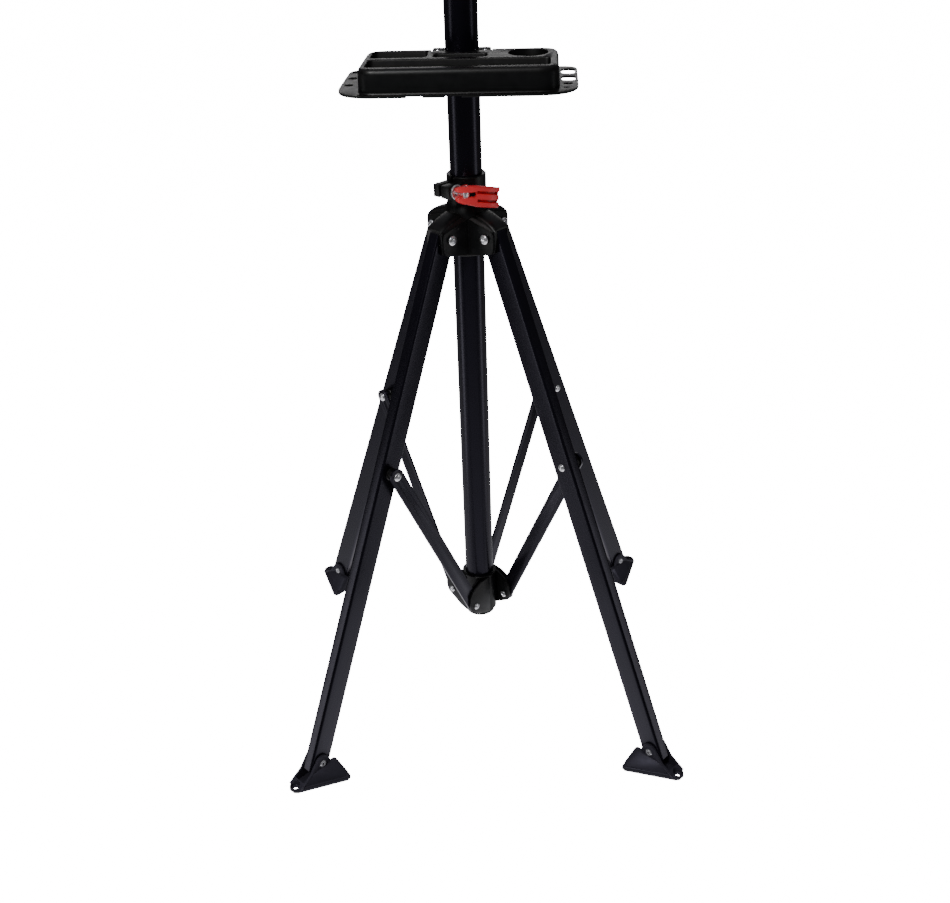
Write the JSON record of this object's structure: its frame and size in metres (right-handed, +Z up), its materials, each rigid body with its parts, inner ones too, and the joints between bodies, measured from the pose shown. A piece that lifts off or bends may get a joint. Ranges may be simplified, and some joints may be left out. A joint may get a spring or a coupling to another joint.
{
  "type": "bike repair stand",
  "caption": "Folding bike repair stand: a telescoping mast on hinged legs with braces, a tool tray, quick-release collars and a screw-down work clamp.",
  "frame": {"origin": "on the floor, on the mast's axis", "axes": "+Z up along the mast; -Y is the front, where the tool tray hangs; +X to the viewer's right"},
  "size_m": [0.5106, 0.5106, 1.443],
  "materials": {
    "black_paint": "semi-gloss",
    "black_plastic": "fine-grained",
    "black_rubber": "matt",
    "red_plastic": "gloss",
    "bright_steel": "zinc plated"
  },
  "bodies": {
    "mast": {"mast_tube": "black_paint", "mast_end_plug": "black_rubber", "bottom_collar": "black_plastic", "tool_tray": "black_plastic", "tray_clamp_front": "black_plastic", "tray_clamp_rear": "black_plastic", "tray_screw_left": "bright_steel", "tray_screw_right": "bright_steel", "upper_collar": "black_plastic", "upper_collar_liner": "black_plastic", "upper_clamp_stud": "bright_steel", "upper_clamp_washer": "bright_steel", "upper_clamp_nut": "bright_steel", "brace_foot_bolt_fl": "bright_steel", "brace_foot_bolt_fr": "bright_steel", "brace_foot_bolt_br": "bright_steel", "brace_foot_bolt_bl": "bright_steel"},
    "hub": {"hub": "black_plastic", "hub_liner": "black_plastic", "lower_clamp_stud": "bright_steel", "lower_clamp_washer": "bright_steel", "lower_clamp_nut": "bright_steel", "leg_pivot_bolt_fl": "bright_steel", "leg_pivot_bolt_fr": "bright_steel", "leg_pivot_bolt_br": "bright_steel", "leg_pivot_bolt_bl": "bright_steel"},
    "leg_fl": {"leg_fl": "black_paint", "foot_rivet_fl": "bright_steel"},
    "foot_fl": {"foot_fl": "black_plastic"},
    "leg_fr": {"leg_fr": "black_paint", "foot_rivet_fr": "bright_steel"},
    "foot_fr": {"foot_fr": "black_plastic"},
    "leg_br": {"leg_br": "black_paint", "foot_rivet_br": "bright_steel"},
    "foot_br": {"foot_br": "black_plastic"},
    "leg_bl": {"leg_bl": "black_paint", "foot_rivet_bl": "bright_steel"},
    "foot_bl": {"foot_bl": "black_plastic"},
    "brace_fl": {"brace_fl": "black_paint", "brace_bolt_fl": "bright_steel"},
    "brace_fr": {"brace_fr": "black_paint", "brace_bolt_fr": "bright_steel"},
    "brace_br": {"brace_br": "black_paint", "brace_bolt_br": "bright_steel"},
    "brace_bl": {"brace_bl": "black_paint", "brace_bolt_bl": "bright_steel"},
    "lower_lever": {"lower_clamp_lever": "red_plastic"},
    "upper_lever": {"upper_clamp_lever": "red_plastic"},
    "inner_mast": {"inner_tube": "black_paint", "inner_tube_glide": "black_plastic", "head_tee": "black_plastic"},
    "clamp_head": {"head_spindle": "bright_steel", "jaw_frame": "black_paint", "lower_jaw_pad": "black_rubber"},
    "tilt_knob": {"tilt_knob": "black_plastic"},
    "moving_jaw": {"moving_jaw": "black_paint", "upper_jaw_pad": "black_rubber"},
    "jaw_screw": {"jaw_screw": "bright_steel", "jaw_screw_bar": "bright_steel"}
  },
  "joints": [
    {"name": "hub_slide", "type": "slide", "parent": "mast", "child": "hub", "axis": [0, 0, 1], "range_m": [0, 0.05018]},
    {"name": "leg_hinge_fl", "type": "hinge", "parent": "hub", "child": "leg_fl", "pos_m": [-0.03111, -0.03111, 0.661], "axis": [0.7071, -0.7071, 0], "range_deg": [0, 20.53]},
    {"name": "foot_hinge_fl", "type": "hinge", "parent": "leg_fl", "child": "foot_fl", "pos_m": [-0.21949, -0.21949, 0.025], "axis": [0.7071, -0.7071, 0], "range_deg": [-25, 10]},
    {"name": "leg_hinge_fr", "type": "hinge", "parent": "hub", "child": "leg_fr", "pos_m": [0.03111, -0.03111, 0.661], "axis": [0.7071, 0.7071, 0], "range_deg": [0, 20.53]},
    {"name": "foot_hinge_fr", "type": "hinge", "parent": "leg_fr", "child": "foot_fr", "pos_m": [0.21949, -0.21949, 0.025], "axis": [0.7071, 0.7071, 0], "range_deg": [-25, 10]},
    {"name": "leg_hinge_br", "type": "hinge", "parent": "hub", "child": "leg_br", "pos_m": [0.03111, 0.03111, 0.661], "axis": [-0.7071, 0.7071, 0], "range_deg": [0, 20.53]},
    {"name": "foot_hinge_br", "type": "hinge", "parent": "leg_br", "child": "foot_br", "pos_m": [0.21949, 0.21949, 0.025], "axis": [-0.7071, 0.7071, 0], "range_deg": [-25, 10]},
    {"name": "leg_hinge_bl", "type": "hinge", "parent": "hub", "child": "leg_bl", "pos_m": [-0.03111, 0.03111, 0.661], "axis": [-0.7071, -0.7071, 0], "range_deg": [0, 20.53]},
    {"name": "foot_hinge_bl", "type": "hinge", "parent": "leg_bl", "child": "foot_bl", "pos_m": [-0.21949, 0.21949, 0.025], "axis": [-0.7071, -0.7071, 0], "range_deg": [-25, 10]},
    {"name": "brace_hinge_fl", "type": "hinge", "parent": "mast", "child": "brace_fl", "pos_m": [-0.02227, -0.02227, 0.1288], "axis": [-0.7071, 0.7071, 0], "range_deg": [0, 20.95]},
    {"name": "brace_hinge_fr", "type": "hinge", "parent": "mast", "child": "brace_fr", "pos_m": [0.02227, -0.02227, 0.1288], "axis": [-0.7071, -0.7071, 0], "range_deg": [0, 20.95]},
    {"name": "brace_hinge_br", "type": "hinge", "parent": "mast", "child": "brace_br", "pos_m": [0.02227, 0.02227, 0.1288], "axis": [0.7071, -0.7071, 0], "range_deg": [0, 20.95]},
    {"name": "brace_hinge_bl", "type": "hinge", "parent": "mast", "child": "brace_bl", "pos_m": [-0.02227, 0.02227, 0.1288], "axis": [0.7071, 0.7071, 0], "range_deg": [0, 20.95]},
    {"name": "lower_lever_hinge", "type": "hinge", "parent": "hub", "child": "lower_lever", "pos_m": [-0.00106, -0.04561, 0.7165], "axis": [0, 0, -1], "range_deg": [0, 120]},
    {"name": "upper_lever_hinge", "type": "hinge", "parent": "mast", "child": "upper_lever", "pos_m": [-0.00106, -0.04561, 1.028], "axis": [0, 0, -1], "range_deg": [0, 120]},
    {"name": "height_slide", "type": "slide", "parent": "mast", "child": "inner_mast", "axis": [0, 0, 1], "range_m": [-0.205, 0.3]},
    {"name": "clamp_tilt", "type": "hinge", "parent": "inner_mast", "child": "clamp_head", "pos_m": [0, 0, 1.335], "axis": [1, 0, 0], "continuous": true},
    {"name": "tilt_knob_spin", "type": "hinge", "parent": "clamp_head", "child": "tilt_knob", "pos_m": [-0.04, 0, 1.335], "axis": [-1, 0, 0], "continuous": true},
    {"name": "jaw_slide", "type": "slide", "parent": "clamp_head", "child": "moving_jaw", "axis": [0, 0, -1], "range_m": [-0.01, 0.023]},
    {"name": "jaw_screw_spin", "type": "hinge", "parent": "moving_jaw", "child": "jaw_screw", "pos_m": [0.137, 0, 1.335], "axis": [0, 0, -1], "range_deg": [-451, 1036]}
  ],
  "couplings": [
    {"joint": "leg_hinge_fl", "follows": "hub_slide", "rad_per_m": 7.1389},
    {"joint": "leg_hinge_fr", "follows": "hub_slide", "rad_per_m": 7.1389},
    {"joint": "leg_hinge_br", "follows": "hub_slide", "rad_per_m": 7.1389},
    {"joint": "leg_hinge_bl", "follows": "hub_slide", "rad_per_m": 7.1389},
    {"joint": "brace_hinge_fl", "follows": "hub_slide", "rad_per_m": 7.2871},
    {"joint": "brace_hinge_fr", "follows": "hub_slide", "rad_per_m": 7.2871},
    {"joint": "brace_hinge_br", "follows": "hub_slide", "rad_per_m": 7.2871},
    {"joint": "brace_hinge_bl", "follows": "hub_slide", "rad_per_m": 7.2871},
    {"joint": "jaw_screw_spin", "follows": "jaw_slide", "rad_per_m": 785.4}
  ]
}
